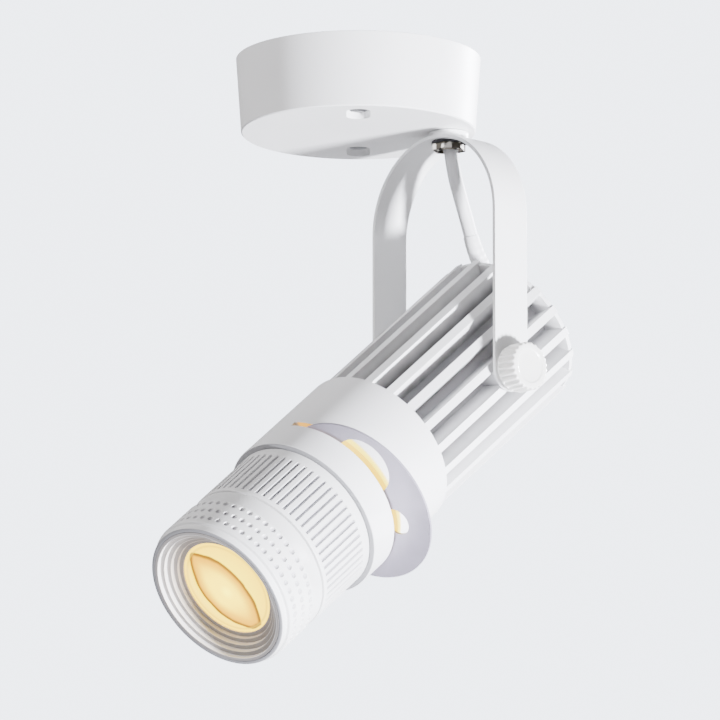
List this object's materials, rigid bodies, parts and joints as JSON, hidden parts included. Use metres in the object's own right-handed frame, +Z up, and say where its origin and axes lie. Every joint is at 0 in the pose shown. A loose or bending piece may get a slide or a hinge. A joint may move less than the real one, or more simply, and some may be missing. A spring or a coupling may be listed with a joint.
{
  "type": "ceiling spotlight",
  "caption": "Round surface canopy with an off-centre swivel, strap yoke and tilting finned spotlight head with an aperture wheel and a focusing front tube.",
  "frame": {"origin": "centre of the ceiling face of the canopy, on the ceiling plane", "axes": "+Z up into the ceiling, the lamp hangs towards -Z; +X along the tilt axis to the lamp's right-hand knob; the beam leaves towards -Y and down"},
  "size_m": [0.1333, 0.2074, 0.2738],
  "materials": {
    "white_steel": "satin white powder coat",
    "white_cast": "satin white powder coat",
    "white_plastic": "smooth moulded",
    "knob_plastic": "smooth moulded",
    "black_plastic": "matte",
    "chrome": "polished",
    "zinc_steel": "zinc plated",
    "wheel_metal": "satin, thin sheet",
    "bare_aluminium": "satin",
    "black_aluminium": "black anodised",
    "circuit_board": "printed board with parts",
    "led_white": "white solder mask",
    "phosphor": "yellow phosphor",
    "lens_glass": "polished, lit warm from behind",
    "clear_glass": "polished",
    "cord_white": "smooth round sheath",
    "lead_sheath": "smooth insulated leads",
    "grey_rubber": "soft moulded"
  },
  "bodies": {
    "canopy": {"canopy_cup": "white_steel", "ceiling_plate": "zinc_steel", "canopy_screws": "zinc_steel", "cable_grommet": "grey_rubber", "driver_case": "white_plastic", "driver_lid": "white_plastic", "driver_board": "circuit_board", "terminal_block": "white_plastic", "terminal_screws": "zinc_steel", "inner_leads": "lead_sheath", "swivel_sleeve": "black_plastic"},
    "yoke": {"swivel_tube": "chrome", "friction_washer": "black_plastic", "inner_locknut": "zinc_steel", "swivel_boss": "white_plastic", "saddle_washer": "black_plastic", "swivel_nut": "chrome", "yoke_strap": "white_steel", "power_cord": "cord_white"},
    "wheel": {"aperture_wheel": "wheel_metal"},
    "zoom": {"zoom_ring": "white_cast"},
    "front": {"lens_tube": "white_cast", "guide_pins": "zinc_steel", "rear_lens": "clear_glass", "rear_lens_ring": "black_aluminium", "front_lens": "lens_glass", "baffle": "white_cast"},
    "knob_r": {"knob_right": "knob_plastic"},
    "knob_l": {"knob_left": "knob_plastic"},
    "head": {"heat_sink": "white_cast", "pivot_studs": "zinc_steel", "pivot_spacers": "black_plastic", "knob_washers": "white_plastic", "rear_cover": "white_plastic", "cover_screws": "zinc_steel", "cord_gland": "white_plastic", "led_board": "led_white", "led_emitter": "phosphor", "led_holder": "white_plastic", "led_screws": "zinc_steel", "optic_tube": "black_plastic", "condenser_lens": "clear_glass", "condenser_ring": "black_aluminium", "collar_housing": "white_cast", "collar_screws": "zinc_steel", "gate_plate": "bare_aluminium", "gate_screws": "zinc_steel", "wheel_axle": "zinc_steel", "guide_tube": "black_aluminium", "zoom_clip": "zinc_steel"}
  },
  "joints": [
    {"name": "pan", "type": "hinge", "parent": "canopy", "child": "yoke", "pos_m": [0.02628, 0.02828, -0.032], "axis": [0, 0, 1], "range_deg": [-175, 175]},
    {"name": "tilt", "type": "hinge", "parent": "yoke", "child": "head", "pos_m": [0.02628, 0.02828, -0.1407], "axis": [1, 0, 0], "range_deg": [-39.3, 50.7], "deforming": ["power_cord"]},
    {"name": "knob_right_turn", "type": "hinge", "parent": "head", "child": "knob_r", "pos_m": [0.07028, 0.02828, -0.1407], "axis": [1, 0, 0], "range_deg": [-180, 20]},
    {"name": "knob_left_turn", "type": "hinge", "parent": "head", "child": "knob_l", "pos_m": [-0.01772, 0.02828, -0.1407], "axis": [-1, 0, 0], "range_deg": [-180, 20]},
    {"name": "wheel_turn", "type": "hinge", "parent": "head", "child": "wheel", "pos_m": [0.04378, -0.04159, -0.2028], "axis": [0, -0.7738, -0.6334], "continuous": true},
    {"name": "zoom_turn", "type": "hinge", "parent": "head", "child": "zoom", "pos_m": [0.02628, -0.06923, -0.22051], "axis": [0, 0.7738, 0.6334], "range_deg": [0, 90]},
    {"name": "lens_slide", "type": "slide", "parent": "head", "child": "front", "axis": [0, -0.7738, -0.6334], "range_m": [0, 0.00802]}
  ],
  "couplings": [
    {"joint": "lens_slide", "follows": "zoom_turn", "m_per_rad": 0.005093}
  ]
}
